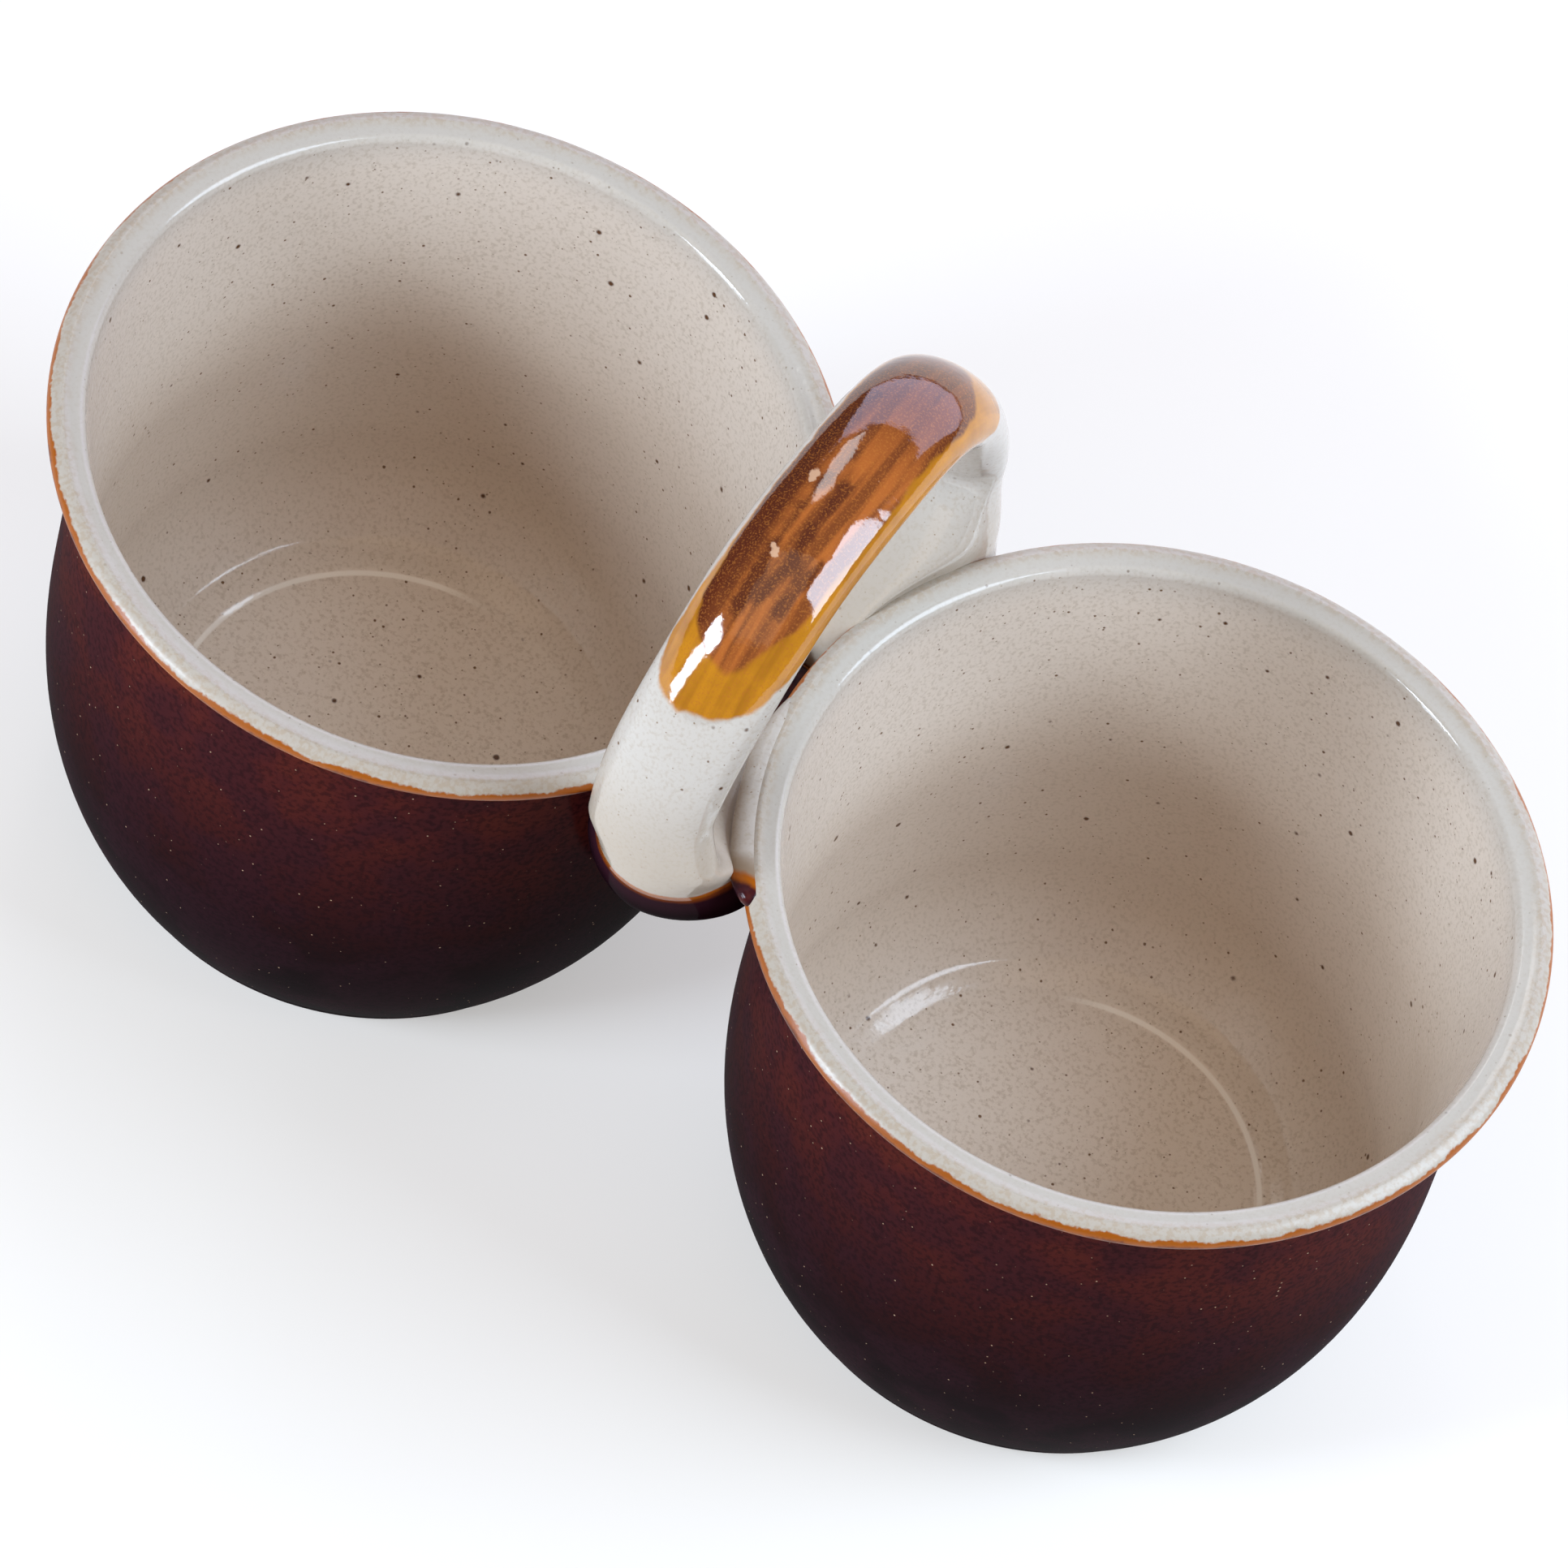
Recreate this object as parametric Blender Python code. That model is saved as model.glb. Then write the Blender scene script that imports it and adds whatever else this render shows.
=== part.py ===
# Double serving dish: two round stoneware pots joined by one arched bridge handle.
# +X runs from the left pot to the right pot, +Y from the front to the back, +Z up.
# The origin is on the table, midway between the pots. All sizes are in metres.

import math

import bmesh
import bpy

# Pots
RIM_RADIUS = 0.0600         # outer edge of the lip
RIM_HEIGHT = 0.0965         # crest of the lip above the table
RIM_GAP = 0.0035            # between the two lips, where they come closest
LIP_WIDTH = 0.0066          # lip, from its inner edge to its outer edge
LIP_CREST_INSET = 0.0024    # crest of the lip, in from the outer edge
LIP_OUTER_DROP = 0.0018     # outer edge of the lip below the crest
LIP_INNER_DROP = 0.0030     # inner edge of the lip below the crest
LIP_EDGE_ROUND = 0.0012     # rounding under the outer edge
NECK_COVE = 0.0070          # height of the hollow curve under the lip
BODY_RADIUS = 0.0540        # outside of the straight wall
BELLY_HEIGHT = 0.0500       # where the straight wall starts to round in
BELLY_POWER = 2.4           # how late the belly rounds in
WALL = 0.0048               # thickness of the side wall
FLARE_DEPTH = 0.0140        # inside wall starts to flare this far below the crest
FLOOR_HEIGHT = 0.0105       # inside floor above the table
FLOOR_RADIUS = 0.0320       # flat part of the inside floor
CORNER_HEIGHT = 0.0145      # round corner between floor and inside wall
BASE_RADIUS = 0.0412        # outside of the foot ring
BASE_ROUND = 0.0014         # rounding at the foot ring's outer edge
RING_WIDTH = 0.0055         # flat of the foot ring
RECESS_DEPTH = 0.0025       # hollow inside the foot ring

# Handle
ARCH_HALF_SPAN = 0.0412     # middle of a leg from the pots' line
ARCH_RISE = 0.0449          # middle of the crown above the lip's crest
ARCH_SPRING = 0.0220        # level below the crest at which the arch stands upright
ARCH_POWER = 2.75           # 2 is an ellipse, more is squarer
STRAP_WIDTH = 0.0187        # across the strap at the crown
LEG_WIDTH = 0.0176          # across the strap where the legs are narrowest
STRAP_THICKNESS = 0.0116
FOOT_WIDTH = 0.0260         # across the wedge before the pots trim it
FOOT_DEPTH = 0.0370         # wedge from its front to its inner end
FOOT_RISE = 0.0170          # the leg starts to deepen inwards this far above the crest
FLARE_RISE = 0.0070         # the leg starts to widen this far above the crest
FLARE_HEIGHT = 0.0120       # and is as wide as the wedge this far below that
FOOT_DROP = 0.0172          # underside of the wedge below the crest
FOOT_ROUND = 0.0120         # height of the round underside
FOOT_FLAT = 0.0006          # the underside stops rounding this far from its end and is cut flat
FOOT_SQUARENESS = 4.0       # inner end of the wedge: 2 is an ellipse, more is squarer
FLANK_LEAN = 0.0070         # a leg's flank leans this far over the lip where the leg starts to deepen

# Joints between handle and pots
LUTING = 0.0008             # layer of slip and soft clay between a foot and a pot
SEAT_GAP = 0.0003           # clearance on each side of that layer

POT_STEPS = 56              # sides of a turned form
LIP_STEPS = 4               # points from the lip's crest to its outer edge
SECTION_STEPS = 24          # sides of the strap's section
ARCH_STEPS = 60             # sections along the handle, closer together at its feet
FINE_STEPS = 2000           # points used to measure along the arch
MERGE_DISTANCE = 0.00001    # points closer than this are one point

POT_OFFSET = RIM_RADIUS + RIM_GAP / 2
CREST_RADIUS = RIM_RADIUS - LIP_CREST_INSET
MOUTH_RADIUS = RIM_RADIUS - LIP_WIDTH
LIP_EDGE_HEIGHT = RIM_HEIGHT - LIP_OUTER_DROP

# Colour and roughness of each finish
BROWN_GLAZE = ((0.030, 0.009, 0.008), 0.16)
CREAM_GLAZE = ((0.57, 0.53, 0.47), 0.22)
SLIP = ((0.50, 0.45, 0.38), 0.5)


def blend(start, end, share):
    return start + (end - start) * share


def smooth(share):
    share = min(max(share, 0.0), 1.0)
    return share * share * (3 - 2 * share)


def arc(centre, radii, start, end, steps):
    angles = [math.radians(blend(start, end, i / steps)) for i in range(steps + 1)]
    return [(centre[0] + radii[0] * math.cos(a), centre[1] + radii[1] * math.sin(a)) for a in angles]


def distinct(profile):
    """The profile without points that repeat the one before."""
    pairs = zip(profile[1:], profile)
    return profile[:1] + [point for point, before in pairs if math.dist(point, before) > MERGE_DISTANCE]


def body_radius(height):
    """Outside radius of the pot below its neck."""
    share = max(BELLY_HEIGHT - height, 0.0) / BELLY_HEIGHT
    return BODY_RADIUS - (BODY_RADIUS - BASE_RADIUS) * share ** BELLY_POWER


def outer_profile():
    """Outside of a pot, from the lip's crest down to the foot ring."""
    lip = arc((CREST_RADIUS, LIP_EDGE_HEIGHT), (LIP_CREST_INSET, LIP_OUTER_DROP), 90, 0, LIP_STEPS)
    edge_round = min(LIP_EDGE_ROUND, max(RIM_RADIUS - BODY_RADIUS, 0.0))
    edge_radius = RIM_RADIUS - edge_round
    edge = arc((edge_radius, LIP_EDGE_HEIGHT), (edge_round, edge_round), 0, -90, 2)
    cove_foot = LIP_EDGE_HEIGHT - edge_round - NECK_COVE
    cove = arc((edge_radius, cove_foot), (edge_radius - BODY_RADIUS, NECK_COVE), 90, 180, 5)
    belly_steps = 8
    belly_heights = [blend(BELLY_HEIGHT, BASE_ROUND, i / belly_steps) for i in range(belly_steps + 1)]
    belly = [(body_radius(height), height) for height in belly_heights]
    ring_edge = body_radius(BASE_ROUND) - BASE_ROUND
    ring = arc((ring_edge, BASE_ROUND), (BASE_ROUND, BASE_ROUND), 0, -90, 3)
    return distinct(lip + edge[1:] + cove[1:] + belly + ring[1:])


def inner_profile():
    """Inside of a pot, from the middle of its floor up to the lip's crest."""
    corner_top = FLOOR_HEIGHT + CORNER_HEIGHT
    corner_width = body_radius(corner_top) - WALL - FLOOR_RADIUS
    corner = arc((FLOOR_RADIUS, corner_top), (corner_width, CORNER_HEIGHT), -90, 0, 6)
    flare_foot = RIM_HEIGHT - FLARE_DEPTH
    wall_steps = 4
    wall_heights = [blend(corner_top, flare_foot, i / wall_steps) for i in range(1, wall_steps + 1)]
    wall = [(body_radius(height) - WALL, height) for height in wall_heights]
    mouth_height = RIM_HEIGHT - LIP_INNER_DROP
    flare_steps = 5
    flare = []
    for i in range(1, flare_steps + 1):
        share = i / flare_steps
        height = blend(flare_foot, mouth_height, share)
        flare.append((blend(BODY_RADIUS - WALL, MOUTH_RADIUS, smooth(share)), height))
    lip_radii = (CREST_RADIUS - MOUTH_RADIUS, LIP_INNER_DROP)
    lip = arc((CREST_RADIUS, mouth_height), lip_radii, 180, 90, 4)
    return [(0.0, FLOOR_HEIGHT)] + corner + wall + flare + lip[1:]


def base_profile():
    """Underside of a pot, from the inner edge of the foot ring's flat to the middle of the recess."""
    ring_inner = body_radius(BASE_ROUND) - BASE_ROUND - RING_WIDTH
    return [(ring_inner, 0.0), (ring_inner - RECESS_DEPTH, RECESS_DEPTH), (0.0, RECESS_DEPTH)]


def pushed_out(profile, distance):
    """The profile moved outwards along its normals."""
    points = []
    for i, (radius, height) in enumerate(profile):
        before = profile[max(i - 1, 0)]
        after = profile[min(i + 1, len(profile) - 1)]
        run = (after[0] - before[0], after[1] - before[1])
        length = math.hypot(*run)
        points.append((radius - run[1] / length * distance, height + run[0] / length * distance))
    return points


def material(name, finish):
    colour, roughness = finish
    made = bpy.data.materials.new(name)
    made.use_nodes = True
    shader = made.node_tree.nodes["Principled BSDF"]
    shader.inputs["Base Color"].default_value = (*colour, 1.0)
    shader.inputs["Roughness"].default_value = roughness
    shader.inputs["Metallic"].default_value = 0.0
    return made


def add_object(name, mesh, finish=None, location=(0.0, 0.0, 0.0)):
    item = bpy.data.objects.new(name, mesh)
    item.location = location
    bpy.context.collection.objects.link(item)
    if finish:
        mesh.materials.append(finish)
        mesh.shade_smooth()
    return item


def turned(name, profile, side, finish=None):
    """A form turned about its pot's axis. Side is -1 for the left pot and 1 for the right one."""
    mesh = bpy.data.meshes.new(name)
    edges = [(i, i + 1) for i in range(len(profile) - 1)]
    mesh.from_pydata([(radius, 0.0, height) for radius, height in profile], edges, [])
    item = add_object(name, mesh, finish, (side * POT_OFFSET, 0.0, 0.0))
    screw = item.modifiers.new("Turn", "SCREW")
    screw.steps = POT_STEPS
    screw.render_steps = POT_STEPS
    screw.use_merge_vertices = True
    screw.merge_threshold = MERGE_DISTANCE
    screw.use_smooth_shade = True
    return item


def seat(name, side, clearance, lean=0.0):
    """Solid of a pot's outside plus a clearance, used to trim what is luted to it.
    Above the lip's outer edge it goes on as a cone that draws in by the lean."""
    outside = pushed_out(outer_profile(), clearance)[LIP_STEPS:]
    cone_top = RIM_HEIGHT + FOOT_RISE
    cone = [(0.0, cone_top), (outside[0][0] - lean, cone_top)]
    bottom = [(0.0, outside[-1][1])]
    cutter = turned(name, cone + outside + bottom, side)
    cutter.hide_render = True
    cutter.display_type = "WIRE"
    return cutter


def arch_point(share):
    """Middle of the strap in the plane between the pots: share 0 is the front foot, 1 the rear foot."""
    spring = RIM_HEIGHT - ARCH_SPRING
    angle = math.pi * share
    across, up = math.cos(angle), math.sin(angle)
    power = 2 / ARCH_POWER
    y = -math.copysign(abs(across) ** power, across) * ARCH_HALF_SPAN
    return y, blend(spring, RIM_HEIGHT + ARCH_RISE, abs(up) ** power)


def arch_line():
    """Points along the strap's middle, from the front foot's underside to the rear foot's."""
    underside = RIM_HEIGHT - FOOT_DROP
    fine = [arch_point(i / FINE_STEPS) for i in range(FINE_STEPS + 1)]
    fine = [point for point in fine if point[1] >= underside]
    fine[0] = (fine[0][0], underside)
    fine[-1] = (fine[-1][0], underside)
    lengths = [0.0]
    for before, after in zip(fine, fine[1:]):
        lengths.append(lengths[-1] + math.dist(before, after))
    line, place = [], 0
    for i in range(ARCH_STEPS + 1):
        wanted = lengths[-1] * (1 - math.cos(math.pi * i / ARCH_STEPS)) / 2
        while lengths[place + 1] < wanted and place < len(fine) - 2:
            place += 1
        share = (wanted - lengths[place]) / (lengths[place + 1] - lengths[place])
        line.append(tuple(blend(a, b, share) for a, b in zip(fine[place], fine[place + 1])))
    return line


def handle_section(before, here, after):
    """Ring of points round the strap at one place along it."""
    run = (after[0] - before[0], after[1] - before[1])
    length = math.hypot(*run)
    out = (-run[1] / length, run[0] / length)
    spread = smooth((RIM_HEIGHT + FOOT_RISE - here[1]) / FOOT_RISE)
    down = (RIM_HEIGHT + ARCH_RISE - here[1]) / (ARCH_RISE - FOOT_RISE)
    strap = blend(STRAP_WIDTH, LEG_WIDTH, smooth(down))
    flare = smooth((RIM_HEIGHT + FLARE_RISE - here[1]) / FLARE_HEIGHT)
    half_width = blend(strap, FOOT_WIDTH, flare) / 2
    outward = STRAP_THICKNESS / 2
    inward = blend(STRAP_THICKNESS, FOOT_DEPTH, spread) - outward
    middle = (outward - inward) / 2
    half_depth = (outward + inward) / 2
    rounding = max(RIM_HEIGHT - FOOT_DROP + FOOT_ROUND - here[1], 0.0)
    rounding = min(rounding, FOOT_ROUND - FOOT_FLAT)
    fullness = math.sqrt(1 - (rounding / FOOT_ROUND) ** 2)
    half_width *= fullness
    half_depth *= fullness
    inner_power = 2 / blend(2, FOOT_SQUARENESS, spread)
    ring = []
    for i in range(SECTION_STEPS):
        angle = 2 * math.pi * i / SECTION_STEPS
        across, along = math.cos(angle), math.sin(angle)
        power = inner_power if along < 0 else 1
        x = half_width * math.copysign(abs(across) ** power, across)
        reach = middle + half_depth * math.copysign(abs(along) ** power, along)
        ring.append((x, here[0] + out[0] * reach, here[1] + out[1] * reach))
    return ring


def handle_sections():
    line = arch_line()
    sections = []
    for i, here in enumerate(line):
        before = line[max(i - 1, 0)]
        after = line[min(i + 1, len(line) - 1)]
        sections.append(handle_section(before, here, after))
    return sections


def lofted(name, sections, finish):
    """Closed body through rings of points, with a flat cap at each end."""
    shape = bmesh.new()
    rings = [[shape.verts.new(point) for point in section] for section in sections]
    for ring, following in zip(rings, rings[1:]):
        for i in range(SECTION_STEPS):
            j = (i + 1) % SECTION_STEPS
            shape.faces.new((ring[i], ring[j], following[j], following[i]))
    shape.faces.new(list(reversed(rings[0])))
    shape.faces.new(rings[-1])
    bmesh.ops.recalc_face_normals(shape, faces=shape.faces)
    mesh = bpy.data.meshes.new(name)
    shape.to_mesh(mesh)
    shape.free()
    return add_object(name, mesh, finish)


def cut(item, cutter, operation):
    trim = item.modifiers.new(operation.title(), "BOOLEAN")
    trim.operation = operation
    trim.solver = "EXACT"
    trim.object = cutter


def make_pots():
    profile = inner_profile() + outer_profile()[1:] + base_profile()
    for side, name in ((-1, "left_pot"), (1, "right_pot")):
        turned(name, profile, side, material(name + "_glaze", BROWN_GLAZE))


def make_handle(sections):
    handle = lofted("bridge_handle", sections, material("handle_glaze", CREAM_GLAZE))
    for side, name in ((-1, "left_foot_seat"), (1, "right_foot_seat")):
        cut(handle, seat(name, side, 2 * SEAT_GAP + LUTING, FLANK_LEAN), "DIFFERENCE")


def make_lutings(sections):
    """Thin curved layers that fill the joint between each foot of the handle and each pot."""
    middle = len(sections) // 2
    ends = {"front": sections[:middle], "rear": sections[middle + 1:]}
    finish = material("luting_slip", SLIP)
    for side, hand in ((-1, "left"), (1, "right")):
        outside = seat(hand + "_luting_outside", side, SEAT_GAP + LUTING)
        inside = seat(hand + "_luting_inside", side, SEAT_GAP)
        for end, half in ends.items():
            foot = [section for section in half if section[0][2] <= LIP_EDGE_HEIGHT]
            layer = lofted(end + "_" + hand + "_luting", foot, finish)
            cut(layer, outside, "INTERSECT")
            cut(layer, inside, "DIFFERENCE")


def main():
    for item in list(bpy.data.objects):
        bpy.data.objects.remove(item, do_unlink=True)
    make_pots()
    sections = handle_sections()
    make_handle(sections)
    make_lutings(sections)


main()
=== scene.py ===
# Double serving dish: two thrown stoneware pots side by side, joined and carried by one pulled bridge handle.
import math

import bpy
import numpy as np
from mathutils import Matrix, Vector


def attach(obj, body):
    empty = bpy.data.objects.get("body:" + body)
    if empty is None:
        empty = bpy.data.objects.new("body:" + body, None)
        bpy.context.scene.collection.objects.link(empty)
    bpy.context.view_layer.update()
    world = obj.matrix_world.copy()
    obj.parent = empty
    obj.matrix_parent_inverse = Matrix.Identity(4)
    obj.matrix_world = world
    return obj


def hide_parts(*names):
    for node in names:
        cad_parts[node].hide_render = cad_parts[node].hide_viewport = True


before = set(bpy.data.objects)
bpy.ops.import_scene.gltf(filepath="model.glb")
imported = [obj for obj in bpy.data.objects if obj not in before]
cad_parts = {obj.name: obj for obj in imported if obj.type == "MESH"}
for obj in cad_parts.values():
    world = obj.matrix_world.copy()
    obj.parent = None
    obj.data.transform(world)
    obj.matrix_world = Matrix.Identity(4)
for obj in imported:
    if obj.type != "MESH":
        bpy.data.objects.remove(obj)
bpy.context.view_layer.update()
bpy.ops.object.select_all(action="DESELECT")
mm = 0.001  # shapes are worked out in millimetres, Blender takes metres


def linear(hexColour):
    parts = [int(hexColour[i:i + 2], 16) / 255 for i in (1, 3, 5)]
    return tuple(c / 12.92 if c <= 0.04045 else ((c + 0.055) / 1.055) ** 2.4 for c in parts) + (1.0,)


def add(tree, kind, links, **settings):
    made = tree.nodes.new("ShaderNode" + kind)
    for name, value in settings.items():
        setattr(made, name, value)
    for key, value in links.items():
        if isinstance(value, bpy.types.NodeSocket):
            tree.links.new(value, made.inputs[key])
        else:
            made.inputs[key].default_value = value
    return made.outputs


softStep = {"interpolation_type": "SMOOTHSTEP"}
colourMix = {"data_type": "RGBA"}


def startMaterial(name):
    made = bpy.data.materials.new(name)
    made.use_nodes = True
    made.node_tree.nodes.clear()
    return made, made.node_tree, add(made.node_tree, "TexCoord", {})["Object"]


def finishMaterial(tree, colour, roughness, height, distance, **constants):
    normal = add(tree, "Bump", {"Height": height, "Strength": 1.0, "Distance": distance * mm})[0]
    sockets = {"Base Color": colour, "Roughness": roughness, "Normal": normal}
    sockets.update({name.replace("_", " "): value for name, value in constants.items()})
    shader = add(tree, "BsdfPrincipled", sockets)[0]
    add(tree, "OutputMaterial", {"Surface": shader})


def blend(a, b, share):
    return a + (b - a) * share


def smooth(share):
    share = min(max(share, 0.0), 1.0)
    return share * share * (3 - 2 * share)


def arc(centre, radii, start, end, steps, power=2.0):
    # quarter rounds: power 2 is an ellipse, less is more roof-like
    points = []
    for i in range(steps + 1):
        c, s = (f(math.radians(blend(start, end, i / steps))) for f in (math.cos, math.sin))
        x, y = (math.copysign(abs(v) ** (2 / power), v) for v in (c, s))
        points.append((centre[0] + radii[0] * x, centre[1] + radii[1] * y))
    return points


def bezier(points, steps):
    p, q, r, s = (np.array(point) for point in points)
    line = []
    for i in range(steps + 1):
        t, u = i / steps, 1 - i / steps
        line.append(tuple(p * u ** 3 + 3 * q * t * u ** 2 + 3 * r * t * t * u + s * t ** 3))
    return line


def markPoints(made, name, values):
    # one number at each point, which the glazes read by its name
    made.data.attributes.new(name, "FLOAT", "POINT").data.foreach_set("value", np.array(values, np.float32))


# oatmeal cream: iron specks as (colour, cell size, spot radius, share of cells with a spot), in millimetres
cream = {
    "pale": "#cac4bb", "lip": "#bbb6ab", "wall": "#dfd3c5", "low": "#d2c3b3", "floor": "#ebe2d8",
    "sand": "#b3a38f", "paintedReflection": "#fbf7f0", "faint": "#94816c", "speck": "#755a44", "dark": "#5a3a24",
    "spots": (("faint", 1.0, 0.22, 0.7), ("speck", 1.7, 0.34, 0.65), ("dark", 4.2, 0.7, 0.6)),
}
# dark iron brown: its pale flecks as (cell size, spot radius, share of cells with a fleck), in millimetres
iron = {
    "maroon": "#4c1c1a", "low": "#14070c", "plum": "#2b131c", "amber": "#a05510", "rust": "#74360f",
    "fleck": "#b89a7e", "flecks": (1.5, 0.19, 0.7),
}


def ironSpots(tree, position, cell, radius, share):
    # round melted spots, a little ragged, in some of the cells
    ragged = add(tree, "TexNoise", {"Vector": position, "Scale": 1 / (0.5 * mm)})[1]
    ragged = add(tree, "VectorMath", {0: ragged, 1: (0.2 * mm,) * 3, 2: position}, operation="MULTIPLY_ADD")[0]
    cells = add(tree, "TexVoronoi", {"Vector": ragged, "Scale": 1 / (cell * mm)})
    chance = add(tree, "SeparateColor", {0: cells["Color"]})[0]
    reach = add(tree, "MapRange", {0: chance, 1: 1 - share, 2: 1.0, 3: 0.0, 4: radius / cell})[0]
    inside = add(tree, "Math", {0: reach, 1: cells["Distance"]}, operation="SUBTRACT")[0]
    return add(tree, "MapRange", {0: inside, 1: 0.0, 2: 0.5 * radius / cell}, **softStep)[0]


def creamBody(tree, position, run):
    # thin and greyish on lip and handle, fuller down the wall, warmer and darker low down as painted warm
    # shade, pale on the floor, with sandy grain and iron specks
    cloud = add(tree, "TexNoise", {"Vector": position, "Scale": 1 / (30 * mm)})[0]
    share = add(tree, "Math", {0: cloud, 1: 6.0, 2: run}, operation="MULTIPLY_ADD")[0]
    share = add(tree, "MapRange", {0: share, 1: 5.0, 2: 17.0}, **softStep)[0]
    colour = add(tree, "Mix", {0: share, 6: linear(cream["pale"]), 7: linear(cream["wall"])}, **colourMix)[2]
    deep = add(tree, "Math", {0: cloud, 1: 12.0, 2: run}, operation="MULTIPLY_ADD")[0]
    # the warmer, darker band low on the wall is painted shade; the floor is paler
    for start, end, tone in ((34.0, 62.0, "low"), (84.0, 112.0, "floor")):
        share = add(tree, "MapRange", {0: deep, 1: start, 2: end}, **softStep)[0]
        colour = add(tree, "Mix", {0: share, 6: colour, 7: linear(cream[tone])}, **colourMix)[2]
    grain = add(tree, "TexNoise", {"Vector": position, "Scale": 1 / (0.6 * mm), "Detail": 3.0})[0]
    grain = add(tree, "MapRange", {0: grain, 1: 0.45, 2: 0.72, 4: 0.42}, **softStep)[0]
    colour = add(tree, "Mix", {0: grain, 6: colour, 7: linear(cream["sand"])}, **colourMix)[2]
    for tone, cell, radius, share in cream["spots"]:
        spot = ironSpots(tree, position, cell, radius, share)
        colour = add(tree, "Mix", {0: spot, 6: colour, 7: linear(cream[tone])}, **colourMix)[2]
    return colour


def dippedColour(tree, position):
    # cream down to the lip's outer edge, where the dark dip thins to a sandy, then amber line over it
    run = add(tree, "Attribute", {}, attribute_name="lipRun")["Fac"]
    pale = creamBody(tree, position, run)
    wander = add(tree, "TexNoise", {"Vector": position, "Scale": 1 / (7 * mm), "Detail": 4.0})[0]
    place = add(tree, "MapRange", {0: wander, 1: 0.25, 2: 0.75, 3: -0.6, 4: 0.6})[0]
    place = add(tree, "Math", {0: run, 1: place}, operation="ADD")[0]
    bitten = add(tree, "TexNoise", {"Vector": position, "Scale": 1 / (0.7 * mm), "Detail": 2.0})[0]
    bitten = add(tree, "MapRange", {0: bitten, 1: 0.25, 2: 0.75, 3: -0.2, 4: 0.2})[0]
    place = add(tree, "Math", {0: place, 1: bitten}, operation="ADD")[0]
    crumbs = add(tree, "TexNoise", {"Vector": position, "Scale": 1 / (0.8 * mm), "Detail": 3.0})[0]
    crumbs = add(tree, "MapRange", {0: crumbs, 1: 0.42, 2: 0.62}, **softStep)[0]
    thin = add(tree, "MapRange", {0: place, 1: 8.0, 2: 5.0, 4: 0.7}, **softStep)[0]
    pale = add(tree, "Mix", {0: thin, 6: pale, 7: linear(cream["lip"])}, **colourMix)[2]
    sandy = add(tree, "MapRange", {0: place, 1: 4.8, 2: 2.6}, **softStep)[0]
    crumbs = add(tree, "Math", {0: crumbs, 1: 0.55, 2: 0.3}, operation="MULTIPLY_ADD")[0]
    sandy = add(tree, "Math", {0: sandy, 1: crumbs}, operation="MULTIPLY")[0]
    pale = add(tree, "Mix", {0: sandy, 6: pale, 7: linear(cream["sand"])}, **colourMix)[2]
    line = add(tree, "Attribute", {}, attribute_name="paintedReflectionLine")["Fac"]  # a painted reflection: a pale line along the floor's crease
    pale = add(tree, "Mix", {0: line, 6: pale, 7: linear(cream["paintedReflection"])}, **colourMix)[2]
    # the dip itself: maroon that darkens towards the foot, clouded with plum, with a few pale flecks
    height = add(tree, "MapRange", {0: run, 1: -75.0, 2: -10.0}, **softStep)[0]
    dark = add(tree, "Mix", {0: height, 6: linear(iron["low"]), 7: linear(iron["maroon"])}, **colourMix)[2]
    cloud = add(tree, "TexNoise", {"Vector": position, "Scale": 1 / (12 * mm), "Detail": 3.0})[0]
    plum = add(tree, "MapRange", {0: cloud, 1: 0.4, 2: 0.62, 4: 0.5}, **softStep)[0]
    dark = add(tree, "Mix", {0: plum, 6: dark, 7: linear(iron["plum"])}, **colourMix)[2]
    warm = add(tree, "MapRange", {0: cloud, 1: 0.5, 2: 0.3, 4: 0.12}, **softStep)[0]
    upper = add(tree, "MapRange", {0: run, 1: -45.0, 2: -8.0}, **softStep)[0]
    warm = add(tree, "Math", {0: warm, 1: upper}, operation="MULTIPLY")[0]
    dark = add(tree, "Mix", {0: warm, 6: dark, 7: linear(iron["rust"])}, **colourMix)[2]
    melt = add(tree, "TexNoise", {"Vector": position, "Scale": 1 / (0.9 * mm), "Detail": 3.0})[0]
    melt = add(tree, "MapRange", {0: melt, 1: 0.42, 2: 0.66, 4: 0.5}, **softStep)[0]
    dark = add(tree, "Mix", {0: melt, 6: dark, 7: linear(iron["low"])}, **colourMix)[2]
    fleck = ironSpots(tree, position, *iron["flecks"])
    dark = add(tree, "Mix", {0: fleck, 6: dark, 7: linear(iron["fleck"])}, **colourMix)[2]
    # under the lip a plum band, then rust and an amber line, where the dip thins
    underLip = ((-6.0, -2.0, 0.7, "plum"), (-1.1, -0.2, 1.0, "rust"), (-0.3, 0.25, 1.0, "amber"))
    for start, end, most, tone in underLip:
        share = add(tree, "MapRange", {0: place, 1: start, 2: end, 4: most}, **softStep)[0]
        dark = add(tree, "Mix", {0: share, 6: dark, 7: linear(iron[tone])}, **colourMix)[2]
    edge = add(tree, "MapRange", {0: place, 1: 0.8, 2: 1.2}, **softStep)[0]
    return add(tree, "Mix", {0: edge, 6: dark, 7: pale}, **colourMix)[2], run


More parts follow.
